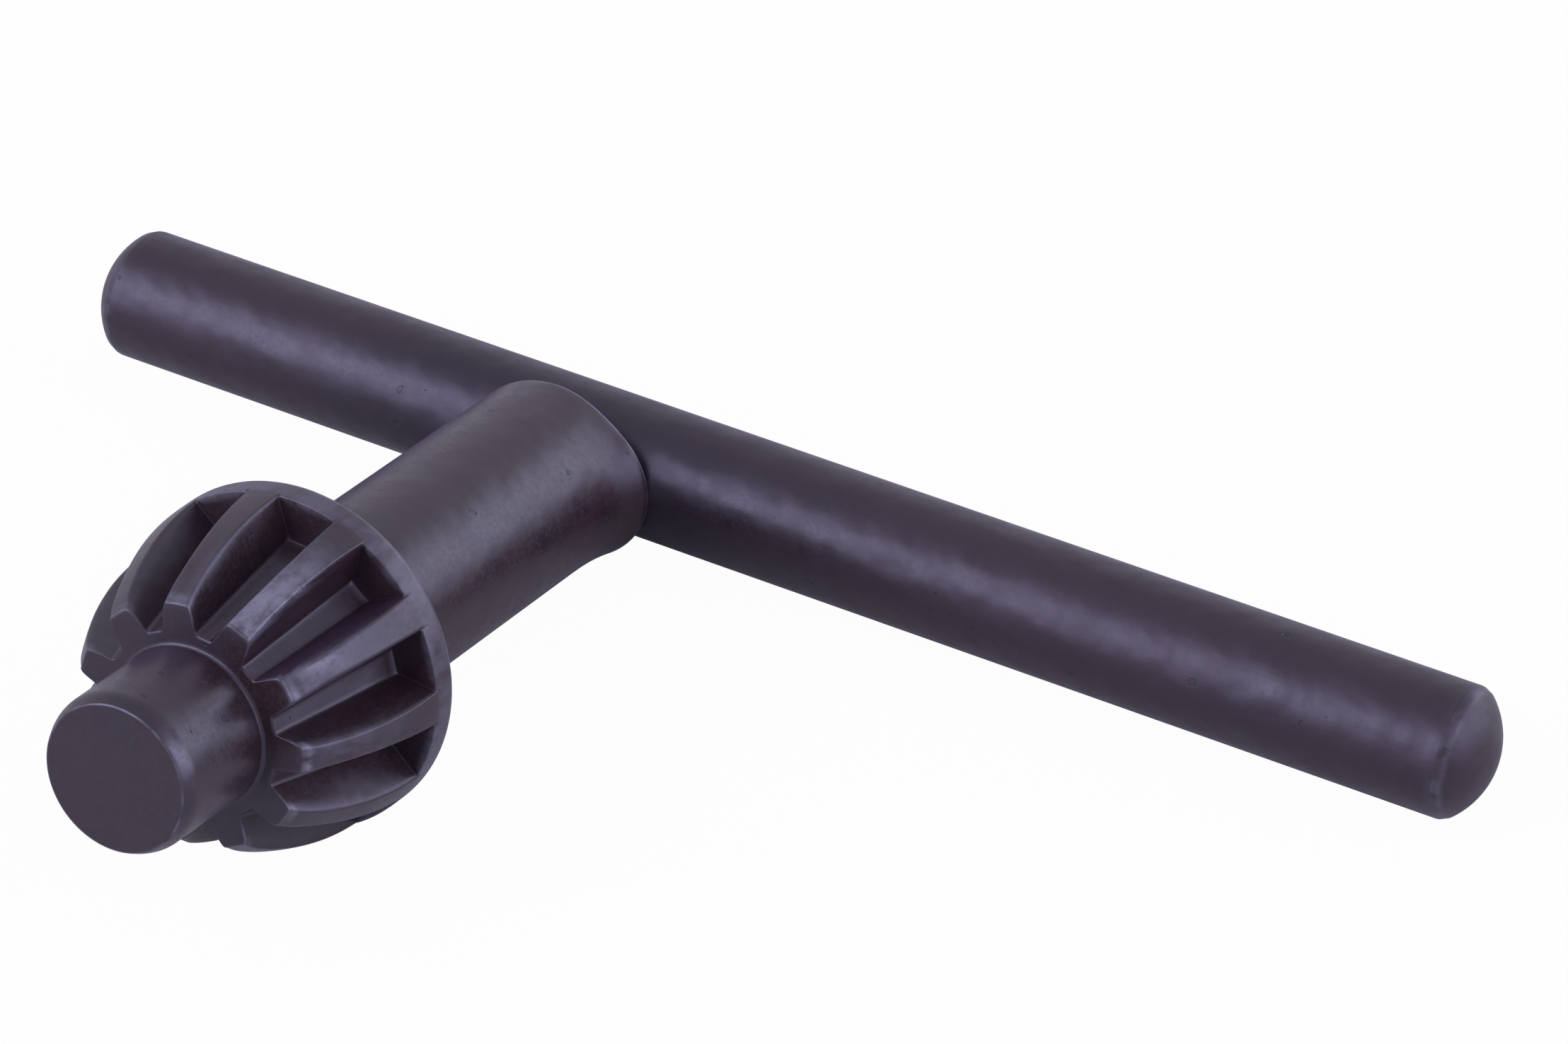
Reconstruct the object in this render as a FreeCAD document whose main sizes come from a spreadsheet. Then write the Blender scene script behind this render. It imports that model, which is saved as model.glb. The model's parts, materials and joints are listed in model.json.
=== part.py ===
import FreeCAD, Part
import math
import os
import Sketcher

# Drill chuck key lying at rest: a turned and gear-cut key body and its cross bar.
# Millimetres, Z up, floor at Z = 0, X along the cross bar.
# Each piece is drawn with the bar axis and the key axis crossing at its own origin.

doc = FreeCAD.newDocument("chuck_key")

# Sizes
SIZES = [
    # cross bar: plain rod with crowned ends, set off centre on the key
    ("bar_dia", "6.7"),
    ("bar_long_arm", "50.2"),
    ("bar_short_arm", "28.0"),
    ("bar_crown", "1.4"),
    ("bar_break_len", "0.4"),
    ("bar_break_in", "0.18"),
    # shank: its end is pressed onto the bar, so that it spreads along the long arm in one ear
    ("shank_dia", "9.6"),
    ("shank_len", "23.2"),
    ("seat_sink", "0.25"),
    ("flare_len", "4.2"),
    ("flare_spread", "0.9"),
    ("flare_mid_spread", "0.19"),
    ("flare_narrow", "0.5"),
    ("flare_tuck", "0.2"),
    ("flare_edge", "0.35"),
    # gear head: full rim at the back, lands on one arc down to the front face
    ("head_dia", "17.15"),
    ("rim_len", "1.15"),
    ("land_len", "8.5"),
    ("land_arc", "16.5"),
    ("land_lip", "0.3"),
    ("rim_round", "0.65"),
    ("neck_fill", "0.4"),
    # pilot that enters the hole in the chuck body
    ("pilot_dia", "8.0"),
    ("pilot_len", "6.25"),
    ("pilot_lead_len", "0.65"),
    ("pilot_lead_in", "0.3"),
    ("pilot_edge", "0.15"),
    ("pilot_root", "0.25"),
    # tooth gaps: flat tapered floor, straight flanks, square wall at the back
    ("tooth_count", "11"),
    ("tooth_phase", "52.4"),
    ("wall_inset", "0.65"),
    ("gap_overrun", "0.1"),
    ("floor_step_front", "0.72"),
    ("gap_depth_back", "2.15"),
    ("floor_half_front", "0.44"),
    ("floor_half_back", "0.65"),
    ("flank_rise", "0.47"),
    ("gap_clear", "0.9"),
]
sheet = doc.addObject("Spreadsheet::Sheet", "Sizes")
for row, (name, value) in enumerate(SIZES, start=1):
    sheet.set("A%d" % row, name)
    sheet.set("B%d" % row, value)
    sheet.setAlias("B%d" % row, name)
doc.recompute()

# Stations along the key axis, measured from the bar axis towards the pilot
SHANK_END = "(bar_dia / 2 - seat_sink)"
FLARE_FULL = "(" + SHANK_END + " + flare_edge)"
FLARE_START = "(" + SHANK_END + " + flare_len)"
FLARE_MID = "((" + FLARE_FULL + " + " + FLARE_START + ") / 2)"
FLARE_ACROSS = "(shank_dia / 2 - flare_narrow)"
HEAD_BACK = "(" + SHANK_END + " + shank_len)"
HEAD_FULL = "(" + HEAD_BACK + " + rim_len)"
GAP_WALL = "(" + HEAD_FULL + " + wall_inset)"
FRONT = "(" + HEAD_FULL + " + land_len)"
TIP = "(" + FRONT + " + pilot_len)"

# Radii that follow from the land arc, which is tangent to the rim, and from the pilot's lead-in
ARC_CENTRE = "(head_dia / 2 - land_arc)"
LIP_RADIUS = "(head_dia / 2 - land_arc + sqrt(land_arc ^ 2 - (land_len - land_lip) ^ 2))"
FRONT_RADIUS = "(" + LIP_RADIUS + " - land_lip)"
LEAD_RADIUS = "(pilot_dia / 2 - pilot_lead_in)"

# Tooth gap section: floor heights, and the tops that clear the lands
FLOOR_FRONT = "(pilot_dia / 2 + floor_step_front)"
FLOOR_BACK = "(head_dia / 2 - gap_depth_back)"
TOP_FRONT = "(" + LIP_RADIUS + " + gap_clear)"
TOP_BACK = "(head_dia / 2 + gap_clear)"
TOP_HALF_FRONT = "(floor_half_front + (" + TOP_FRONT + " - " + FLOOR_FRONT + ") * flank_rise)"
TOP_HALF_BACK = "(floor_half_back + (" + TOP_BACK + " - " + FLOOR_BACK + ") * flank_rise)"

# Lying pose: rim corner, shank end and the long arm's end edge touch the floor
RIM_REACH = "(" + HEAD_BACK + " + rim_round)"
RIM_HEIGHT = "(head_dia / 2 - rim_round)"
ARM_REACH = "(bar_long_arm - bar_crown - bar_break_len)"


def link(text):
    # each size name in a formula becomes a reference to its cell
    names = {name for name, _ in SIZES}
    parts = []
    word = ""
    for ch in text + " ":
        if ch.isalnum() or ch == "_":
            word += ch
        else:
            parts.append("Sizes." + word if word in names else word)
            parts.append(ch)
            word = ""
    return "".join(parts).strip()


def number(text):
    # value of a formula with the sheet as it stands
    return float(sheet.evalExpression(link(text)))


def point(across, up):
    return FreeCAD.Vector(number(across), number(up), 0)


def new_sketch(body, name, plane, lift=None, turn=None):
    sk = body.newObject("Sketcher::SketchObject", name)
    origin = [f for f in body.Origin.OriginFeatures if f.Role == plane][0]
    sk.AttachmentSupport = [(origin, "")]
    sk.MapMode = "FlatFace"
    if turn:
        sk.AttachmentOffset = FreeCAD.Placement(
            FreeCAD.Vector(0, 0, 0), FreeCAD.Rotation(FreeCAD.Vector(0, 0, 1), 1))
        sk.setExpression(".AttachmentOffset.Rotation.Angle", link(turn))
    if lift:
        sk.setExpression(".AttachmentOffset.Base.z", link(lift))
    return sk


def bind(sk, kind, args, text, tag):
    index = sk.addConstraint(Sketcher.Constraint(kind, *args, number(text)))
    sk.renameConstraint(index, tag)
    sk.setExpression("Constraints." + tag, link(text))


def pin(sk, geo, pos, across, up, tag):
    bind(sk, "DistanceX", (-1, 1, geo, pos), across, tag + "_across")
    bind(sk, "DistanceY", (-1, 1, geo, pos), up, tag + "_up")


def draw_outline(sk, corners, arcs):
    # closed outline; arcs gives a side's centre and the coordinate of it that is held
    places = [point(across, up) for across, up in corners]
    for i, start in enumerate(places):
        end = places[(i + 1) % len(places)]
        if i in arcs:
            centre = point(arcs[i][0], arcs[i][1])
            ring = Part.Circle(centre, FreeCAD.Vector(0, 0, 1), (start - centre).Length)
            a = ring.parameter(start)
            b = ring.parameter(end)
            if (b - a) % (2 * math.pi) > math.pi:
                a, b = b, a
            sk.addGeometry(Part.ArcOfCircle(ring, a, b))
        else:
            sk.addGeometry(Part.LineSegment(start, end))
    for i, (across, up) in enumerate(corners):
        before = (i - 1) % len(places)
        here = nearer_end(sk, i, places[i])
        last = nearer_end(sk, before, places[i])
        sk.addConstraint(Sketcher.Constraint("Coincident", before, last, i, here))
        pin(sk, i, here, across, up, "corner%d" % i)
    for i, (across, up, held) in arcs.items():
        bind(sk, held, (-1, 1, i, 3), across if held == "DistanceX" else up, "centre%d" % i)


def nearer_end(sk, geo, place):
    # arcs always run anticlockwise, so either end may be the outline's first
    side = sk.Geometry[geo]
    return 1 if (side.StartPoint - place).Length < (side.EndPoint - place).Length else 2


def draw_circle(sk, radius):
    sk.addGeometry(Part.Circle(FreeCAD.Vector(0, 0, 0), FreeCAD.Vector(0, 0, 1), number(radius)))
    sk.addConstraint(Sketcher.Constraint("Coincident", 0, 3, -1, 1))
    bind(sk, "Radius", (0,), radius, "radius")


def draw_ear(sk, spread, trim="0"):
    # ellipse along X from just inside the shank's far side to past its near side
    centre = "((" + spread + " + flare_tuck) / 2)"
    along = "((shank_dia + " + spread + " - flare_tuck) / 2 - " + trim + ")"
    across = "(" + FLARE_ACROSS + " - " + trim + ")"
    middle = point(centre, "0")
    sk.addGeometry(Part.Ellipse(
        middle + point(along, "0"), middle + point("0", across), middle))
    sk.exposeInternalGeometry(0)
    pin(sk, 0, 3, centre, "0", "middle")
    sk.addConstraint(Sketcher.Constraint("Horizontal", 1))
    bind(sk, "Distance", (1,), "2 * " + along, "width")
    bind(sk, "Distance", (2,), "2 * " + across, "height")


def rings_at(shape, station, radius):
    # names of the circular edges round the key axis at one station
    found = []
    for i, edge in enumerate(shape.Edges, start=1):
        curve = edge.Curve
        if isinstance(curve, Part.Circle) and abs(curve.Radius - number(radius)) < 0.01:
            if abs(curve.Center.z - number(station)) < 0.01:
                found.append("Edge%d" % i)
    return found


def round_edges(body, name, edges, radius):
    base = body.Tip
    fillet = body.newObject("PartDesign::Fillet", name)
    fillet.Base = (base, edges)
    fillet.setExpression("Radius", link(radius))
    return settle(fillet)


def settle(feature):
    # rebuild, refuse anything failed, and give the volume so far
    doc.recompute()
    bad = [o.Name for o in doc.Objects if "Invalid" in o.State or "Error" in o.State]
    if bad or feature.Shape.isNull() or not feature.Shape.isValid():
        raise RuntimeError("failed at " + feature.Name + ": " + ", ".join(bad))
    return feature.Shape.Volume


def must_grow(before, after, name):
    if after <= before:
        raise RuntimeError(name + " adds nothing")


def must_drop(before, after, name):
    if after >= before:
        raise RuntimeError(name + " cuts nothing")


# Key body: pilot, gear head and shank turned from one piece
key = doc.addObject("PartDesign::Body", "KeyBody")
key.Label = "key_body"

blank = new_sketch(key, "BlankOutline", "XZ_Plane")
draw_outline(blank, [
    ("0", SHANK_END),
    ("shank_dia / 2 - flare_edge", SHANK_END),
    ("shank_dia / 2", FLARE_FULL),
    ("shank_dia / 2", HEAD_BACK + " - neck_fill"),
    ("shank_dia / 2 + neck_fill", HEAD_BACK),
    ("head_dia / 2", HEAD_BACK),
    ("head_dia / 2", HEAD_FULL),
    (LIP_RADIUS, FRONT + " - land_lip"),
    (FRONT_RADIUS, FRONT),
    ("pilot_dia / 2 + pilot_root", FRONT),
    ("pilot_dia / 2", FRONT + " + pilot_root"),
    ("pilot_dia / 2", TIP + " - pilot_lead_len"),
    (LEAD_RADIUS, TIP),
    ("0", TIP),
], {6: (ARC_CENTRE, HEAD_FULL, "DistanceX")})
turned = key.newObject("PartDesign::Revolution", "TurnedBlank")
turned.Profile = blank
turned.ReferenceAxis = (blank, ["V_Axis"])
turned.Angle = 360
settle(turned)

# Ear of the shank end, spread along the long arm where the two were pressed together
flare_root = new_sketch(key, "FlareRoot", "XY_Plane", lift=FLARE_START)
draw_ear(flare_root, "-flare_tuck")
flare_mid = new_sketch(key, "FlareMiddle", "XY_Plane", lift=FLARE_MID)
draw_ear(flare_mid, "flare_mid_spread")
flare_full = new_sketch(key, "FlareFull", "XY_Plane", lift=FLARE_FULL)
draw_ear(flare_full, "flare_spread")
flare = key.newObject("PartDesign::AdditiveLoft", "Flare")
flare.Profile = flare_root
flare.Sections = [flare_mid, flare_full]
before = key.Shape.Volume
must_grow(before, settle(flare), "flare")

# The ear's edge is broken like the rest of the shank end
edge_full = new_sketch(key, "EdgeFull", "XY_Plane", lift=FLARE_FULL)
draw_ear(edge_full, "flare_spread")
edge_end = new_sketch(key, "EdgeEnd", "XY_Plane", lift=SHANK_END)
draw_ear(edge_end, "flare_spread", "flare_edge")
broken_edge = key.newObject("PartDesign::AdditiveLoft", "FlareEdge")
broken_edge.Profile = edge_full
broken_edge.Sections = [edge_end]
broken_edge.Ruled = True
settle(broken_edge)

# Rounds on the blank, before the teeth are cut
rim = rings_at(key.Tip.Shape, HEAD_BACK, "head_dia / 2")
round_edges(key, "RimRound", rim, "rim_round")
tip = rings_at(key.Tip.Shape, TIP, LEAD_RADIUS)
round_edges(key, "PilotEdge", tip, "pilot_edge")

# Seat: the bar's own cylinder sinks a shallow saddle into the shank end
seat_ring = new_sketch(key, "SeatRing", "YZ_Plane")
draw_circle(seat_ring, "bar_dia / 2")
seat = key.newObject("PartDesign::Pocket", "BarSeat")
seat.Profile = seat_ring
seat.Midplane = True
seat.setExpression("Length", link("4 * shank_dia"))
before = key.Shape.Volume
must_drop(before, settle(seat), "seat")

# Tooth gap: loft from the wall to just past the front face, wider and deeper at the back
gap_back = new_sketch(key, "GapAtWall", "XY_Plane", lift=GAP_WALL, turn="tooth_phase")
draw_outline(gap_back, [
    (FLOOR_BACK, "-floor_half_back"),
    (TOP_BACK, "-" + TOP_HALF_BACK),
    (TOP_BACK, TOP_HALF_BACK),
    (FLOOR_BACK, "floor_half_back"),
], {})
gap_front = new_sketch(key, "GapAtFront", "XY_Plane", lift=FRONT + " + gap_overrun", turn="tooth_phase")
draw_outline(gap_front, [
    (FLOOR_FRONT, "-floor_half_front"),
    (TOP_FRONT, "-" + TOP_HALF_FRONT),
    (TOP_FRONT, TOP_HALF_FRONT),
    (FLOOR_FRONT, "floor_half_front"),
], {})
gap = key.newObject("PartDesign::SubtractiveLoft", "ToothGap")
gap.Profile = gap_back
gap.Sections = [gap_front]
gap.Ruled = True
before = seat.Shape.Volume
after = settle(gap)
must_drop(before, after, "tooth gap")

gaps = key.newObject("PartDesign::PolarPattern", "ToothGaps")
gaps.Originals = [gap]
gaps.Axis = (blank, ["V_Axis"])
gaps.Angle = 360
gaps.setExpression("Occurrences", "Sizes.tooth_count")
key.Tip = gaps
must_drop(after, settle(gaps), "tooth pattern")

# Cross bar: drawn rod, edges broken, ends crowned
bar = doc.addObject("PartDesign::Body", "CrossBar")
bar.Label = "cross_bar"
CROWN_BASE = "(bar_dia / 2 - bar_break_in)"
CROWN_RADIUS = "((" + CROWN_BASE + " ^ 2 + bar_crown ^ 2) / (2 * bar_crown))"
half = new_sketch(bar, "BarOutline", "XY_Plane")
draw_outline(half, [
    ("-bar_short_arm", "0"),
    ("-bar_short_arm + bar_crown", CROWN_BASE),
    ("-bar_short_arm + bar_crown + bar_break_len", "bar_dia / 2"),
    ("bar_long_arm - bar_crown - bar_break_len", "bar_dia / 2"),
    ("bar_long_arm - bar_crown", CROWN_BASE),
    ("bar_long_arm", "0"),
], {
    0: ("-bar_short_arm + " + CROWN_RADIUS, "0", "DistanceY"),
    4: ("bar_long_arm - " + CROWN_RADIUS, "0", "DistanceY"),
})
rod = bar.newObject("PartDesign::Revolution", "Rod")
rod.Profile = half
rod.ReferenceAxis = (half, ["H_Axis"])
rod.Angle = 360
settle(rod)

# Both pieces lie together: the pilot end tips up until rim and heel share the floor,
# then the key rolls about its own axis until the long arm comes down on its edge
run = number(RIM_REACH) - number(FLARE_FULL)
climb = number(RIM_HEIGHT) - number("shank_dia / 2")
tilt = math.atan2(climb, run) + math.asin(number("rim_round") / math.hypot(run, climb))
axis_height = number("shank_dia / 2") * math.cos(tilt) - number(FLARE_FULL) * math.sin(tilt)
reach = math.hypot(number(ARM_REACH), number("bar_dia / 2"))
dip = math.asin(axis_height / reach) - math.atan2(number("bar_dia / 2"), number(ARM_REACH))
roll = math.asin(math.sin(dip) / math.cos(tilt))
lying = FreeCAD.Rotation(FreeCAD.Vector(1, 0, 0), 90 - math.degrees(tilt)).multiply(
    FreeCAD.Rotation(FreeCAD.Vector(0, 0, 1), -math.degrees(roll)))
for piece in (key, bar):
    piece.Placement = FreeCAD.Placement(FreeCAD.Vector(0, 0, axis_height), lying)
doc.recompute()

# Origin of the part: middle of the floor area that it covers
cover = Part.makeCompound([key.Shape, bar.Shape]).optimalBoundingBox(True, False)
for piece in (key, bar):
    piece.Placement.move(FreeCAD.Vector(-cover.Center.x, -cover.Center.y, -cover.ZMin))
settle(key)
settle(bar)

os.makedirs("parts", exist_ok=True)
for piece in (key, bar):
    shape = piece.Shape
    if shape.isNull() or not shape.isValid() or len(shape.Solids) != 1:
        raise RuntimeError("bad piece: " + piece.Label)
    shape.exportStep("parts/" + piece.Label + ".step")
    box = shape.BoundBox
    print(piece.Label, round(shape.Volume, 2), [round(v, 2) for v in (
        box.XMin, box.XMax, box.YMin, box.YMax, box.ZMin, box.ZMax)])
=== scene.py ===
import json
import math

import bpy
import numpy as np
from mathutils import Matrix, Vector


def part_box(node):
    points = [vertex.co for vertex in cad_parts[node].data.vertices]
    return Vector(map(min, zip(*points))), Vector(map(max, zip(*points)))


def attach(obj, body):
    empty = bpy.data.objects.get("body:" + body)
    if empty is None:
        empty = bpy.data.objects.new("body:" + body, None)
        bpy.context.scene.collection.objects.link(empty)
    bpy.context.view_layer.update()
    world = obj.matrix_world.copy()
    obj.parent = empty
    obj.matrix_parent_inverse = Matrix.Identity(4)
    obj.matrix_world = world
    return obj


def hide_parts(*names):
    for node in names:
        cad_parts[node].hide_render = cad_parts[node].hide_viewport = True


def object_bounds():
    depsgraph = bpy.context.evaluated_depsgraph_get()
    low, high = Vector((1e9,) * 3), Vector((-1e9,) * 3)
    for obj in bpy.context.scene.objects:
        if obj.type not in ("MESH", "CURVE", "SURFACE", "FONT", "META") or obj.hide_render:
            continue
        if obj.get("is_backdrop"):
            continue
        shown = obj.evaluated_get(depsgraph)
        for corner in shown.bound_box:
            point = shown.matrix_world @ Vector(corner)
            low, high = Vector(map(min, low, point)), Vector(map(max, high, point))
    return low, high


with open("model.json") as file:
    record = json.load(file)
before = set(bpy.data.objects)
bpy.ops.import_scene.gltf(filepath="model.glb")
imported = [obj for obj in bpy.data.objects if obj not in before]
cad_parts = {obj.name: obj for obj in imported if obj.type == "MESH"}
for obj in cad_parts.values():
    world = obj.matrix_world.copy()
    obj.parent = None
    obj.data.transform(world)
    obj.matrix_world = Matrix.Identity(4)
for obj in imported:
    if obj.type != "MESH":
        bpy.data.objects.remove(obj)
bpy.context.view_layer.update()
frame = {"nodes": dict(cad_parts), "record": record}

# Sizes in millimetres, in the key's own frame: origin where the bar axis crosses the key axis,
# X along the bar's long arm, Z towards the pilot
BAR_R = 3.35
LONG_ARM = 50.2
SHORT_ARM = 28.0
BAR_CROWN = 1.4
BAR_BREAK = (0.4, 0.18)
SHANK_R = 4.8
SHANK_END = 3.1
FLARE_FULL = 3.45
FLARE_START = 7.3
EAR = (4.6, 4.99, 5.7)  # its reach at the flare's start, halfway and in full
EAR_FAR = 4.6
EAR_HALF = 4.3
HEAD_R = 8.575
HEAD_BACK = 26.3
HEAD_FULL = 27.45
GAP_WALL = 28.1
FRONT = 35.95
TIP = 42.2
LAND_ARC = 16.5
LAND_LIP = 0.3
RIM_ROUND = 0.65
NECK = 0.4
PILOT_R = 4.0
PILOT_LEAD = (0.65, 0.3)  # along the axis, and in radius
PILOT_EDGE = 0.15
PILOT_ROOT = 0.2
TEETH = 11
PITCH = math.pi / TEETH
PHASE = math.radians(52.4)
FLOOR = (6.425, 4.72)  # floor's height at the wall and at the front
HALF = (0.65, 0.44)  # floor's half width at the same places
RISE = 0.47
ROLL = math.radians(1.00858)

# Small rounds and soft joins that only these skins have
FRONT_CORNER = 0.14
WALL_ROUND = 0.06
LEAD_BLEND = 0.3
LIP_BLEND = 0.3
FLOOR_BLEND = 0.12
LAND_BLEND = (0.12, 0.4)  # at the wall, and added towards the front
EAR_BLEND = 0.3

# Wear and painted highlight, from 0 to 1, both shown as bare steel. Lands: the teeth's angles round
# the key, and how bright each one is made: real rub, plus painted highlight on the lands that catch
# the light
TOOTH_ANGLES = np.radians([-62.1, -29.4, 3.3, 36.0, 68.8, 101.5, 134.2, 166.9])
TOOTH_WEAR_AND_HIGHLIGHT = [0.03, 0.05, 0.17, 0.14, 0.7, 0.03, 0.07, 0.03]
# Lip and pilot lead-in: share all round, what is added on one side, that side's angle, its spread.
# The lip's is real wear plus painted highlight on that side; the lead-in's is only a painted
# highlight where a lamp glints on its cone
LIP_WEAR_AND_HIGHLIGHT = (0.2, 0.45, math.radians(20), 0.8)
LEAD_HIGHLIGHT = (0.0, 0.3, math.radians(36), 0.25)
FACE_EDGE_WEAR = 0.25
CORNER_WEAR = 0.35
WALL_EDGE_WEAR = 0.25
RIM_WEAR = 0.2
RIM_EDGE_WEAR = 0.6
SHANK_END_WEAR = (0.2, 0.8)

# Oxide and steel as linear colours
RED_BLACK = (0.0232, 0.0080, 0.0090)
BLUE_BLACK = (0.0152, 0.0076, 0.0096)
DULL_BLACK = (0.0208, 0.0107, 0.0118)
PIT_BLACK = (0.003, 0.002, 0.0025)
# painted shade: the dark the oxide turns to close to the joint, where the shank keeps light off the
# bar
PAINTED_JOINT_SHADE = (0.003, 0.0006, 0.001)
# bare steel, shown where edges are worn and where highlights are painted
BARE_STEEL = (0.30, 0.295, 0.44)
SHEEN = (0.45, 0.3, 1.0)
WHITE = (1.0, 1.0, 1.0)
FLOOR_GREY = (0.68, 0.68, 0.68)
LAMP_TINT = (0.96, 0.95, 1.0)
LAMP_AIM = Vector((0, 0, 0.006))

# The lying pose: tilt from the pilot's axis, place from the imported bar
pilot_axis = Vector(next(m for m in frame["record"]["mounts"] if m["name"] == "pilot")["axis"])
tilt = math.pi / 2 - math.asin(pilot_axis.z)
lying = Matrix.Rotation(tilt, 4, "X") @ Matrix.Rotation(-ROLL, 4, "Z")
bar_low, bar_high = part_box("cross_bar")
bar_middle = Vector(((LONG_ARM - SHORT_ARM) / 2000, 0, 0))
place = Matrix.Translation((bar_low + bar_high) / 2 - lying @ bar_middle) @ lying


def soft_min(a, b, k):
    return np.minimum(a, b) - np.clip(k - np.abs(a - b), 0, None) ** 2 / (4 * k)


def soft_max(a, b, k):
    return -soft_min(-a, -b, k)


def smooth(t):
    t = np.clip(t, 0, 1)
    return t * t * (3 - 2 * t)


def wrap(angle):
    return (angle + math.pi) % (2 * math.pi) - math.pi


def quarter(count, skip_first=False):
    # angles over a quarter turn, for rounds
    steps = np.linspace(0, math.pi / 2, count)
    return steps[1:] if skip_first else steps


def side_weighted(around, everywhere, added, angle, spread):
    return everywhere + added * np.exp(-(wrap(around - angle) / spread) ** 2)


def land_radius(z):
    # rim, then the land arc, then the broken lip at the front
    arc = HEAD_R - LAND_ARC + np.sqrt(LAND_ARC ** 2 - np.clip(z - HEAD_FULL, 0, None) ** 2)
    lip_z = FRONT - LAND_LIP
    lip = HEAD_R - LAND_ARC + math.sqrt(LAND_ARC ** 2 - (lip_z - HEAD_FULL) ** 2)
    return soft_min(arc, lip - (z - lip_z), LIP_BLEND)


def gap_at(z):
    t = np.clip((z - GAP_WALL) / (FRONT + 0.1 - GAP_WALL), 0, 1)
    return FLOOR[0] + (FLOOR[1] - FLOOR[0]) * t, HALF[0] + (HALF[1] - HALF[0]) * t


def gap_radius(phi, z):
    # flat floor square to the gap's middle, straight flanks that open outwards
    floor, half = gap_at(z)
    flank = (half - RISE * floor) / (np.sin(phi) - RISE * np.cos(phi))
    return soft_max(floor / np.cos(phi), flank, FLOOR_BLEND)


def tooth_radius(phi, z):
    # the land's edges are crisp at the wall and worn round towards the front
    k = LAND_BLEND[0] + LAND_BLEND[1] * smooth((z - GAP_WALL) / 6.0)
    return soft_min(land_radius(z), gap_radius(phi, z), k)


LAND_EDGE = 10  # which of half_sector's columns lies on the land's edge


def half_sector(z):
    # column angles from a gap's middle to a land's middle, close together at the two edges
    z = min(max(z, GAP_WALL), FRONT)
    floor, half = gap_at(z)
    low = math.atan(half / floor)
    top = low
    land = float(land_radius(np.array(z)))
    for _ in range(40):
        top = math.asin(min(1, (half + (land * math.cos(top) - floor) * RISE) / land))
    step = 1 / land
    # the flank's own columns keep clear of each other where the flank is short
    left = min(step, (top - low) / 0.8)
    inner = FLOOR_BLEND / floor
    return np.array([
        0, 0.5 * low, low - inner, low, low + inner * 0.5,
        low + (top - low) * 0.35, low + (top - low) * 0.68,
        top - 0.2 * left, top - 0.12 * left, top - 0.06 * left,
        top, top + 0.06 * step, top + 0.13 * step, top + 0.24 * step,
        top + (PITCH - top) * 0.5, top + (PITCH - top) * 0.8, PITCH,
    ])


def ring_angles(z):
    # angles all round, and each one's distance from its own gap's middle
    half = half_sector(z)
    local = np.concatenate([-half[-2:0:-1], half])
    around = np.concatenate([PHASE + 2 * PITCH * k + local for k in range(TEETH)])
    return around, np.abs(np.tile(local, TEETH))


front_around, front_off = ring_angles(FRONT)
wall_around, wall_off = ring_angles(GAP_WALL)
rows = []


def add_row(z, radius, station, wear_and_highlight=0.0):
    # one ring of the key body, with the columns of the given station along the teeth;
    # height, radius and wear may differ from column to column; the wear values hold real wear and
    # painted highlights alike
    around, _ = ring_angles(station)
    ones = np.ones_like(around)
    rows.append((around, z * ones, radius * ones, wear_and_highlight * ones))


# Pilot: face, its small round, tapered lead-in, plain cylinder, root
for r in (0.6, 1.2, 1.8, 2.4, 3.0, 3.4):
    add_row(TIP, r, FRONT)
lead_slope = PILOT_LEAD[1] / PILOT_LEAD[0]
lead_r = PILOT_R - PILOT_LEAD[1]
turn = math.pi / 2 - math.atan2(PILOT_LEAD[1], PILOT_LEAD[0])
setback = PILOT_EDGE * math.tan(turn / 2)
for t in np.linspace(0, turn, 8):
    add_row(TIP - PILOT_EDGE * (1 - math.cos(t)), lead_r - setback + PILOT_EDGE * math.sin(t),
            FRONT, FACE_EDGE_WEAR * math.sin(math.pi * t / turn))
# painted highlight: the lead-in shown as bare steel on the one side where a lamp glints on it
lead_highlight = side_weighted(front_around, *LEAD_HIGHLIGHT)
for s in np.linspace(0.2, PILOT_LEAD[0] - LEAD_BLEND, 4):
    add_row(TIP - s, lead_r + lead_slope * s, FRONT, lead_highlight)
for s in np.linspace(LEAD_BLEND, -LEAD_BLEND, 9)[1:]:
    sunk = lead_slope * (LEAD_BLEND + s) ** 2 / (4 * LEAD_BLEND)
    add_row(TIP - PILOT_LEAD[0] + s, PILOT_R - sunk, FRONT,
            lead_highlight * smooth((s + LEAD_BLEND) / LEAD_BLEND))
for z in np.linspace(TIP - PILOT_LEAD[0] - LEAD_BLEND - 0.3, FRONT + PILOT_ROOT, 9):
    add_row(z, PILOT_R, FRONT)
for t in quarter(5, True):
    add_row(FRONT + PILOT_ROOT * (1 - math.sin(t)), PILOT_R + PILOT_ROOT * (1 - math.cos(t)), FRONT)

# Front face out to the tooth fronts, whose corner is rounded
edge_r = tooth_radius(front_off, FRONT - FRONT_CORNER)
on_land = smooth((edge_r - 5.0) / 0.6)
face_start = PILOT_R + PILOT_ROOT
for t in np.linspace(0, 1, 8)[1:]:
    add_row(FRONT, face_start + (edge_r - FRONT_CORNER - face_start) * t, FRONT)
for t in quarter(4, True):
    add_row(FRONT - FRONT_CORNER * (1 - math.cos(t)), edge_r - FRONT_CORNER * (1 - math.sin(t)),
            FRONT, on_land * CORNER_WEAR * math.sin(t))

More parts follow.
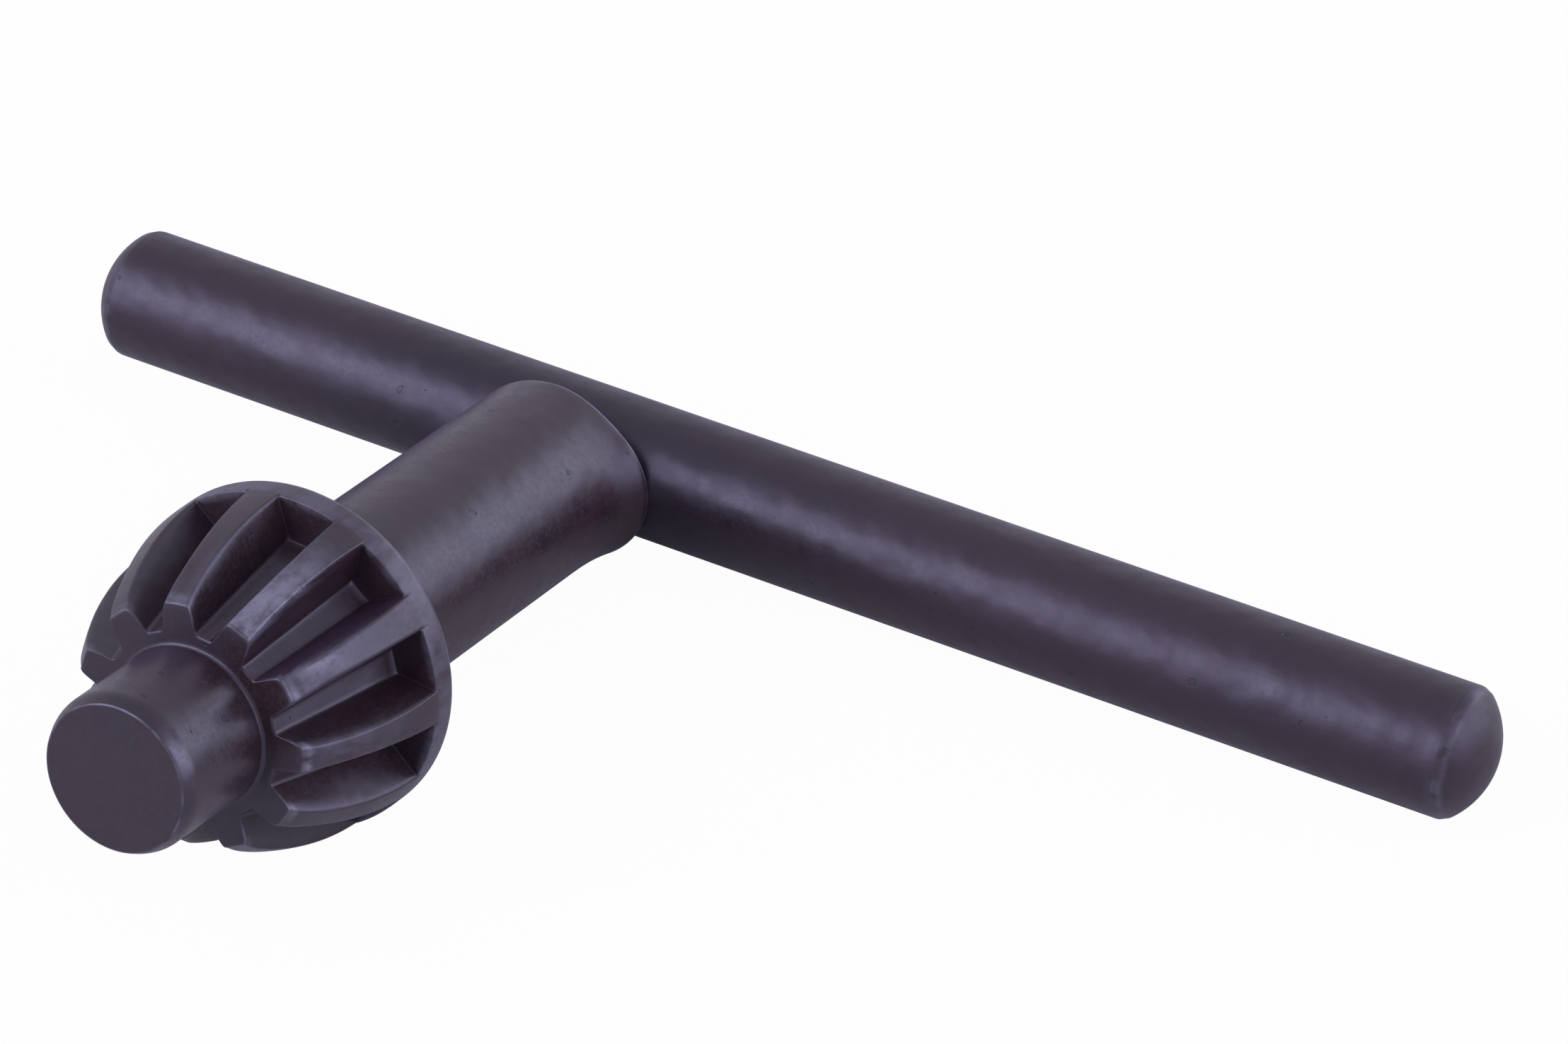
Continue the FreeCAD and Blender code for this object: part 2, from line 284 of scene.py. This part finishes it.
# Lip, lands and gaps back to the walls
stations = [FRONT - d for d in (0.16, 0.2, 0.24, 0.28, 0.32, 0.36, 0.41, 0.48, 0.58)]
stations += list(np.linspace(FRONT - 0.75, GAP_WALL + WALL_ROUND, 22))
for z in stations:
    around, off = ring_angles(z)
    on_top = smooth((off - half_sector(z)[LAND_EDGE]) / 0.03 + 1)
    # lip: real wear all round, with painted highlight added on the side that catches the light
    lip = math.exp(-((z - (FRONT - LAND_LIP)) / 0.2) ** 2) * side_weighted(around, *LIP_WEAR_AND_HIGHLIGHT)
    # lands: real rub, with painted highlight on the front halves of the lands that catch the light
    steel_showing = np.interp(around, TOOTH_ANGLES, TOOTH_WEAR_AND_HIGHLIGHT, period=2 * math.pi)
    steel_showing = smooth((z - 28.6) / 5.6) * steel_showing
    add_row(z, tooth_radius(off, z), z, on_top * np.maximum(steel_showing, lip))

# Walls of the gaps; on the lands the same rings lie close together on the surface
floor_r = tooth_radius(wall_off, GAP_WALL)
rim_r = float(land_radius(np.array(GAP_WALL)))
depth = rim_r - floor_r
scale = np.clip(depth / (2 * WALL_ROUND + 0.1), 0, 1)
on_wall = smooth((depth - 0.03) / 0.3)
wall_rings = []  # offset along Z, radius on the wall, wear
for t in quarter(5, True):
    wall_rings.append((WALL_ROUND * (1 - math.sin(t)),
                       floor_r + WALL_ROUND * scale * (1 - math.cos(t)), 0.0))
for low in (0.8, 0.6, 0.4, 0.2):
    wall_rings.append((0, rim_r - WALL_ROUND * scale - (depth - 2 * WALL_ROUND * scale) * low, 0.0))
for t in quarter(5):
    wall_rings.append((-WALL_ROUND * (1 - math.cos(t)),
                       rim_r - WALL_ROUND * scale * (1 - math.sin(t)), WALL_EDGE_WEAR))
for i, (dz, wall_r, steel_share) in enumerate(wall_rings):
    land_z = GAP_WALL + WALL_ROUND - 2 * WALL_ROUND * (i + 1) / len(wall_rings)
    add_row(on_wall * (GAP_WALL + dz * scale) + (1 - on_wall) * land_z,
            on_wall * wall_r + (1 - on_wall) * tooth_radius(wall_off, land_z),
            GAP_WALL, steel_share * smooth(depth / 0.4))

# Full rim, its rounded back edge, the back face and the neck
for z in np.linspace(GAP_WALL - WALL_ROUND, HEAD_BACK + RIM_ROUND, 5)[1:]:
    add_row(z, HEAD_R if z < HEAD_FULL else float(land_radius(np.array(z))), GAP_WALL, RIM_WEAR)
for t in quarter(10, True):
    add_row(HEAD_BACK + RIM_ROUND * (1 - math.sin(t)), HEAD_R - RIM_ROUND * (1 - math.cos(t)),
            GAP_WALL, RIM_EDGE_WEAR * math.sin(2 * t))
for r in np.linspace(HEAD_R - RIM_ROUND, SHANK_R + NECK, 6)[1:]:
    add_row(HEAD_BACK, r, GAP_WALL)
for t in quarter(6, True):
    add_row(HEAD_BACK - NECK * (1 - math.cos(t)), SHANK_R + NECK * (1 - math.sin(t)), GAP_WALL)


# Shank, the ear that its end spreads along the long arm, the broken end edge and the seat
def shank_outline(t, trim=0.0):
    # round shank joined with the ear's ellipse; t runs from the ear's start to the shank's end
    start, middle, full = EAR
    reach = start + (4 * middle - 3 * start - full) * t + (2 * start + 2 * full - 4 * middle) * t * t
    half_x = (reach + EAR_FAR) / 2 - trim
    half_y = EAR_HALF - trim
    centre = (reach - EAR_FAR) / 2
    c = np.cos(wall_around)
    s = np.sin(wall_around)
    a = (c / half_x) ** 2 + (s / half_y) ** 2
    b = c * centre / half_x ** 2
    ear = (b + np.sqrt(b * b - a * ((centre / half_x) ** 2 - 1))) / a
    return soft_max(ear, np.full_like(ear, SHANK_R - trim), EAR_BLEND)


for z in np.linspace(HEAD_BACK - NECK, FLARE_START, 16)[1:]:
    add_row(z, SHANK_R, GAP_WALL)
for t in np.linspace(0, 1, 16)[1:]:
    add_row(FLARE_START + (FLARE_FULL - FLARE_START) * t, shank_outline(t), GAP_WALL)
end_edge = FLARE_FULL - SHANK_END
for t in quarter(7, True):
    add_row(FLARE_FULL - end_edge * math.sin(t), shank_outline(1, end_edge * (1 - math.cos(t))),
            GAP_WALL, SHANK_END_WEAR[0] + SHANK_END_WEAR[1] * math.sin(2 * t))
for s in (0.9, 0.75, 0.6, 0.45, 0.3, 0.15, 0.05):
    r = shank_outline(1, end_edge) * s
    seat = np.sqrt(np.clip(BAR_R ** 2 - (r * np.sin(wall_around)) ** 2, 0, None))
    add_row(np.maximum(SHANK_END, seat), r, GAP_WALL)


def ring_mesh(name, rings, first, last, axis):
    # closed skin of rings with a point at each end; axis is the one that the rings go round
    count = len(rings[0][0])
    points = []
    steel_share = []
    for around, along, radius, wear_and_highlight in rings:
        a = radius * np.cos(around)
        b = radius * np.sin(around)
        points.append(np.stack([a, b, along] if axis == "Z" else [along, a, b], 1))
        steel_share.append(wear_and_highlight)
    ends = [(0, 0, first), (0, 0, last)] if axis == "Z" else [(first, 0, 0), (last, 0, 0)]
    points = np.concatenate(points + [np.array(ends)])
    steel_share = np.concatenate(steel_share + [np.zeros(2)])
    total = len(rings) * count
    faces = []
    for i in range(len(rings) - 1):
        for j in range(count):
            k = (j + 1) % count
            faces.append((i * count + j, (i + 1) * count + j, (i + 1) * count + k, i * count + k))
    for j in range(count):
        k = (j + 1) % count
        faces.append((j, k, total))
        faces.append(((len(rings) - 1) * count + k, (len(rings) - 1) * count + j, total + 1))
    mesh = bpy.data.meshes.new(name)
    mesh.from_pydata([place @ Vector(p * 0.001) for p in points], [], faces)
    mesh.validate()
    own = mesh.attributes.new("own", "FLOAT_VECTOR", "POINT")
    own.data.foreach_set("vector", points.astype(np.float32).ravel())
    steel_share_layer = mesh.attributes.new("wear_and_highlight", "FLOAT", "POINT")
    steel_share_layer.data.foreach_set("value", np.clip(steel_share, 0, 1).astype(np.float32))
    mesh.shade_smooth()
    obj = bpy.data.objects.new(name, mesh)
    bpy.context.scene.collection.objects.link(obj)
    return obj


key = ring_mesh("chuck_key_body", rows, TIP, BAR_R, "Z")

# Cross bar: drawn rod, broken edges, crowned ends
crown_base = BAR_R - BAR_BREAK[1]
crown_r = (crown_base ** 2 + BAR_CROWN ** 2) / (2 * BAR_CROWN)
crown_turn = math.asin(crown_base / crown_r)
end_profile = []  # distance from the end, radius, wear
for a in crown_turn * np.linspace(0, 1, 14)[1:-1]:
    end_profile.append((crown_r * (1 - math.cos(a)), crown_r * math.sin(a), 0.0))
break_end = BAR_CROWN + BAR_BREAK[0]
plain_start = BAR_CROWN + 0.9
end_profile += [
    (BAR_CROWN - 0.03, crown_base - 0.03, 0.14),
    (BAR_CROWN + 0.02, crown_base + 0.01, 0.2),
    (BAR_CROWN + 0.2, BAR_R - 0.09, 0.12),
    (break_end - 0.06, BAR_R - 0.02, 0.14),
    (break_end + 0.06, BAR_R, 0.05),
    (plain_start, BAR_R, 0.0),
]
plain = np.linspace(plain_start - SHORT_ARM, LONG_ARM - plain_start, 90)[1:-1]
bar_profile = [(x - SHORT_ARM, r, w) for x, r, w in end_profile]
bar_profile += [(x, BAR_R, 0.0) for x in plain]
bar_profile += [(LONG_ARM - x, r, w) for x, r, w in reversed(end_profile)]
bar_around = -np.linspace(0, 2 * math.pi, 121)[:-1]
bar_ones = np.ones_like(bar_around)
bar_rows = [(bar_around, x * bar_ones, r * bar_ones, w * bar_ones) for x, r, w in bar_profile]
bar = ring_mesh("tee_bar", bar_rows, -SHORT_ARM, LONG_ARM, "X")


def node(tree, kind, **values):
    # in_NAME sets the input called NAME, any other value sets a property
    made = tree.nodes.new(kind)
    for name, value in values.items():
        if name.startswith("in_"):
            made.inputs[name[3:].replace("_", " ")].default_value = value
        else:
            setattr(made, name, value)
    return made


def feed(tree, socket, value):
    # value is a number, a colour or an output socket
    if isinstance(value, tuple):
        socket.default_value = value + (1,)
    elif isinstance(value, (int, float)):
        socket.default_value = value
    else:
        tree.links.new(value, socket)


def mix_number(tree, factor, low, high):
    made = node(tree, "ShaderNodeMix")
    feed(tree, made.inputs[0], factor)
    feed(tree, made.inputs[2], low)
    feed(tree, made.inputs[3], high)
    return made.outputs[0]


def mix_colour(tree, factor, low, high):
    made = node(tree, "ShaderNodeMix", data_type="RGBA")
    feed(tree, made.inputs[0], factor)
    feed(tree, made.inputs[6], low)
    feed(tree, made.inputs[7], high)
    return made.outputs[2]


def maths(tree, operation, a, b):
    made = node(tree, "ShaderNodeMath", operation=operation)
    feed(tree, made.inputs[0], a)
    feed(tree, made.inputs[1], b)
    return made.outputs[0]


def weighted(tree, *terms):
    # sum of (output socket, weight) pairs
    total = None
    for value, weight in terms:
        part = maths(tree, "MULTIPLY", value, weight)
        total = part if total is None else maths(tree, "ADD", total, part)
    return total


def ramp(tree, value, low, high):
    # 0 below low, 1 above high, smooth between; low may be the greater one
    made = node(tree, "ShaderNodeMapRange", interpolation_type="SMOOTHSTEP")
    made.inputs["From Min"].default_value = low
    made.inputs["From Max"].default_value = high
    tree.links.new(value, made.inputs["Value"])
    return made.outputs[0]


def noise(tree, coords, scale, detail, roughness, offset=(0, 0, 0), stretch=(1, 1, 1)):
    moved = node(tree, "ShaderNodeMapping", in_Location=offset, in_Scale=stretch)
    tree.links.new(coords, moved.inputs["Vector"])
    made = node(tree, "ShaderNodeTexNoise", in_Scale=scale, in_Detail=detail, in_Roughness=roughness)
    tree.links.new(moved.outputs[0], made.inputs["Vector"])
    return made.outputs[0]


def spots(tree, coords, scale):
    # distance to the nearest of scattered points
    made = node(tree, "ShaderNodeTexVoronoi", in_Scale=scale, in_Randomness=1.0)
    tree.links.new(coords, made.inputs["Vector"])
    return made.outputs["Distance"]


def black_oxide(name, grain, tone, dull, joint, relief, tint):
    # grain: how much the fine marks are stretched along X, Y and Z of the key's own frame
    # tone: how light the oxide itself is, apart from its gloss; dull: its roughness at the glossiest
    # joint: share of the oxide's colour that is left close to the joint; the rest there is painted
    # shade of the shank
    # relief: depth of the marks in metres; tint: colour of the gloss
    red_black, blue_black, dull_black = (
        tuple(part * tone for part in colour) for colour in (RED_BLACK, BLUE_BLACK, DULL_BLACK))
    mat = bpy.data.materials.new(name)
    mat.use_nodes = True
    tree = mat.node_tree
    shader = tree.nodes["Principled BSDF"]
    own = node(tree, "ShaderNodeAttribute", attribute_name="own").outputs["Vector"]
    wear_and_highlight = node(tree, "ShaderNodeAttribute", attribute_name="wear_and_highlight").outputs["Fac"]

    blotches = noise(tree, own, 0.22, 3, 0.55)
    mottle = noise(tree, own, 0.9, 4, 0.6, (31, 7, 3))
    fine = noise(tree, own, 4.5, 3, 0.6, (3, 17, 9))
    marks = noise(tree, own, 1.6, 3, 0.6, (11, 5, 23), grain)
    swell = noise(tree, own, 0.55, 1, 0.5, (19, 2, 37))
    streaks = noise(tree, own, 1.3, 3, 0.5, (5, 41, 13), (1, 1, 0.22))
    pit_size = maths(tree, "MULTIPLY", ramp(tree, mottle, 0.46, 0.7), 0.21)
    pits = ramp(tree, maths(tree, "SUBTRACT", spots(tree, own, 0.75), pit_size), 0.02, -0.02)

    # oxide: red black and blue black in soft clouds, duller in fine specks, darker close to the joint
    # with painted shade of the shank
    cloud = ramp(tree, weighted(tree, (blotches, 0.6), (mottle, 0.4)), 0.38, 0.62)
    oxide = mix_colour(tree, cloud, red_black, blue_black)
    oxide = mix_colour(tree, ramp(tree, fine, 0.35, 0.7), oxide, dull_black)
    oxide = mix_colour(tree, pits, oxide, PIT_BLACK)
    # painted shade close to the joint, fading out along the arms
    along = node(tree, "ShaderNodeSeparateXYZ")
    tree.links.new(own, along.inputs["Vector"])
    away = ramp(tree, maths(tree, "ABSOLUTE", along.outputs["X"], 0), 5.0, 18.0)
    oxide = mix_colour(tree, mix_number(tree, away, joint, 1.0), PAINTED_JOINT_SHADE, oxide)

    # edges: oxide rubbed thin where the noise lets it, down to dull steel in places and in nicks; the
    # same steel paints the highlights on the lip, lands and lead-in
    steel_showing = maths(tree, "MULTIPLY", wear_and_highlight, ramp(tree, streaks, 0.22, 0.58))
    patches = mix_number(tree, ramp(tree, mottle, 0.36, 0.58), 0.5, 1.0)
    steel_showing = maths(tree, "MULTIPLY", steel_showing, patches)
    nicks = maths(tree, "MULTIPLY", ramp(tree, spots(tree, own, 0.36), 0.05, 0.025),
                  ramp(tree, wear_and_highlight, 0.02, 0.1))
    steel_showing = maths(tree, "MAXIMUM", steel_showing, nicks)
    feed(tree, shader.inputs["Base Color"], mix_colour(tree, steel_showing, oxide, BARE_STEEL))
    feed(tree, shader.inputs["Metallic"], maths(tree, "MULTIPLY", steel_showing, 0.8))

    rough = mix_number(tree, ramp(tree, mottle, 0.3, 0.7), dull, dull + 0.11)
    rough = maths(tree, "ADD", rough, mix_number(tree, cloud, 0.05, -0.02))
    rough = mix_number(tree, ramp(tree, fine, 0.4, 0.75), rough, 0.46)
    feed(tree, shader.inputs["Roughness"], rough)
    feed(tree, shader.inputs["IOR"], 1.5)
    feed(tree, shader.inputs["Specular IOR Level"], 0.8)
    feed(tree, shader.inputs["Specular Tint"], tint)
    feed(tree, shader.inputs["Sheen Weight"], 0.09)
    feed(tree, shader.inputs["Sheen Roughness"], 0.4)
    feed(tree, shader.inputs["Sheen Tint"], SHEEN)

    height = weighted(tree, (marks, 0.05), (swell, 1.15), (mottle, 0.1), (fine, 0.03), (pits, -0.5))
    bump = node(tree, "ShaderNodeBump", in_Strength=1.0, in_Distance=relief)
    feed(tree, bump.inputs["Height"], height)
    feed(tree, shader.inputs["Normal"], bump.outputs[0])
    return mat


turned = black_oxide("black_oxide_turned", grain=(0.5, 0.5, 2.2), tone=1.0, dull=0.27,
                     joint=1.0, relief=0.00006, tint=(0.63, 0.64, 1.0))
drawn = black_oxide("black_oxide_drawn", grain=(0.12, 1.6, 1.6), tone=0.68, dull=0.35,
                    joint=0.4, relief=0.0001, tint=(0.665, 0.622, 0.97))
for piece, cad_node, slot, steel in ((key, "key_body", "blackened_steel", turned),
                                     (bar, "cross_bar", "blackened_bar_steel", drawn)):
    piece.data.materials.append(steel)
    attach(piece, "root")
    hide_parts(cad_node)
    frame["nodes"][cad_node].data.materials.clear()
    frame["nodes"][cad_node].data.materials.append(steel)


def shown_share(tree, straight, bounced):
    # share of the plain background for rays from the camera, and for rays in gloss and through glass
    rays = node(tree, "ShaderNodeLightPath")
    other = maths(tree, "MAXIMUM", rays.outputs["Is Glossy Ray"], rays.outputs["Is Transmission Ray"])
    first = maths(tree, "MULTIPLY", rays.outputs["Is Camera Ray"], straight)
    return maths(tree, "MAXIMUM", first, maths(tree, "MULTIPLY", other, bounced))


def mix_shaders(tree, factor, first, second, output):
    either = node(tree, "ShaderNodeMixShader")
    tree.links.new(factor, either.inputs[0])
    tree.links.new(first.outputs[0], either.inputs[1])
    tree.links.new(second.outputs[0], either.inputs[2])
    tree.links.new(either.outputs[0], output.inputs["Surface"])


# Floor: mostly the white of the background, the rest keeps the shadow; just under the key's
# lowest points
floor_mesh = bpy.data.meshes.new("floor")
floor_mesh.from_pydata([(-2, -2, 0), (2, -2, 0), (2, 2, 0), (-2, 2, 0)], [], [(0, 1, 2, 3)])
floor = bpy.data.objects.new("floor", floor_mesh)
floor.location.z = -0.00002
bpy.context.scene.collection.objects.link(floor)
pale = bpy.data.materials.new("pale_floor")
pale.use_nodes = True
tree = pale.node_tree
pale_shader = tree.nodes["Principled BSDF"]
feed(tree, pale_shader.inputs["Base Color"], FLOOR_GREY)
feed(tree, pale_shader.inputs["Roughness"], 0.9)
feed(tree, pale_shader.inputs["Specular IOR Level"], 0.1)
floor_white = node(tree, "ShaderNodeEmission", in_Color=WHITE + (1,), in_Strength=1.0)
mix_shaders(tree, shown_share(tree, 0.97, 0.03), pale_shader, floor_white,
            tree.nodes["Material Output"])
floor_mesh.materials.append(pale)
floor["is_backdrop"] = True

# World: the same white all round that the background shows, and a plainer level as light
world = bpy.data.worlds.new("studio")
bpy.context.scene.world = world
world.use_nodes = True
tree = world.node_tree
tree.nodes.clear()
light = node(tree, "ShaderNodeBackground", in_Color=LAMP_TINT + (1,), in_Strength=0.48)
shown = node(tree, "ShaderNodeBackground", in_Color=WHITE + (1,), in_Strength=1.0)
mix_shaders(tree, shown_share(tree, 1.0, 0.5), light, shown, node(tree, "ShaderNodeOutputWorld"))


def softbox(name, azimuth, elevation, distance, width, height, radiance):
    # azimuth in degrees from the -Y side, positive towards +X; lengths in metres
    a = math.radians(azimuth)
    e = math.radians(elevation)
    out = Vector((math.sin(a) * math.cos(e), -math.cos(a) * math.cos(e), math.sin(e)))
    lamp = bpy.data.lights.new(name, "AREA")
    lamp.shape = "RECTANGLE"
    lamp.size = width
    lamp.size_y = height
    lamp.energy = radiance * math.pi * width * height
    lamp.color = LAMP_TINT
    obj = bpy.data.objects.new(name, lamp)
    obj.location = LAMP_AIM + distance * out
    obj.rotation_mode = "QUATERNION"
    obj.rotation_quaternion = (distance * out).to_track_quat("Z", "Y")
    bpy.context.scene.collection.objects.link(obj)


softbox("front_softbox", -39, 33, 0.6, 0.54, 0.42, 3.8)
softbox("right_softbox", 124, 15, 0.8, 1.9, 0.42, 1.75)
softbox("side_softbox", 95, 35, 0.6, 0.16, 0.15, 8.0)

# Camera: fitted to the photograph's outlines, in the key's own frame
camera_data = bpy.data.cameras.new("camera")
camera_data.sensor_width = 36
camera_data.lens = 167.667
camera_data.clip_start = 0.01
camera_data.clip_end = 20
camera = bpy.data.objects.new("camera", camera_data)
right = Vector((0.8703125, 0.0998560, -0.4822706))
down = Vector((0.3038918, -0.8794696, 0.3663099))
ahead = Vector((-0.3875641, -0.4653622, -0.7957588))
pose = Matrix((right, -down, -ahead)).transposed().to_4x4()
pose.translation = Vector((0.1513962, 0.1675764, 0.2870481))
camera.matrix_world = place @ pose
bpy.context.scene.collection.objects.link(camera)
bpy.context.scene.camera = camera

bpy.context.scene.view_settings.view_transform = "Standard"

low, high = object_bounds()
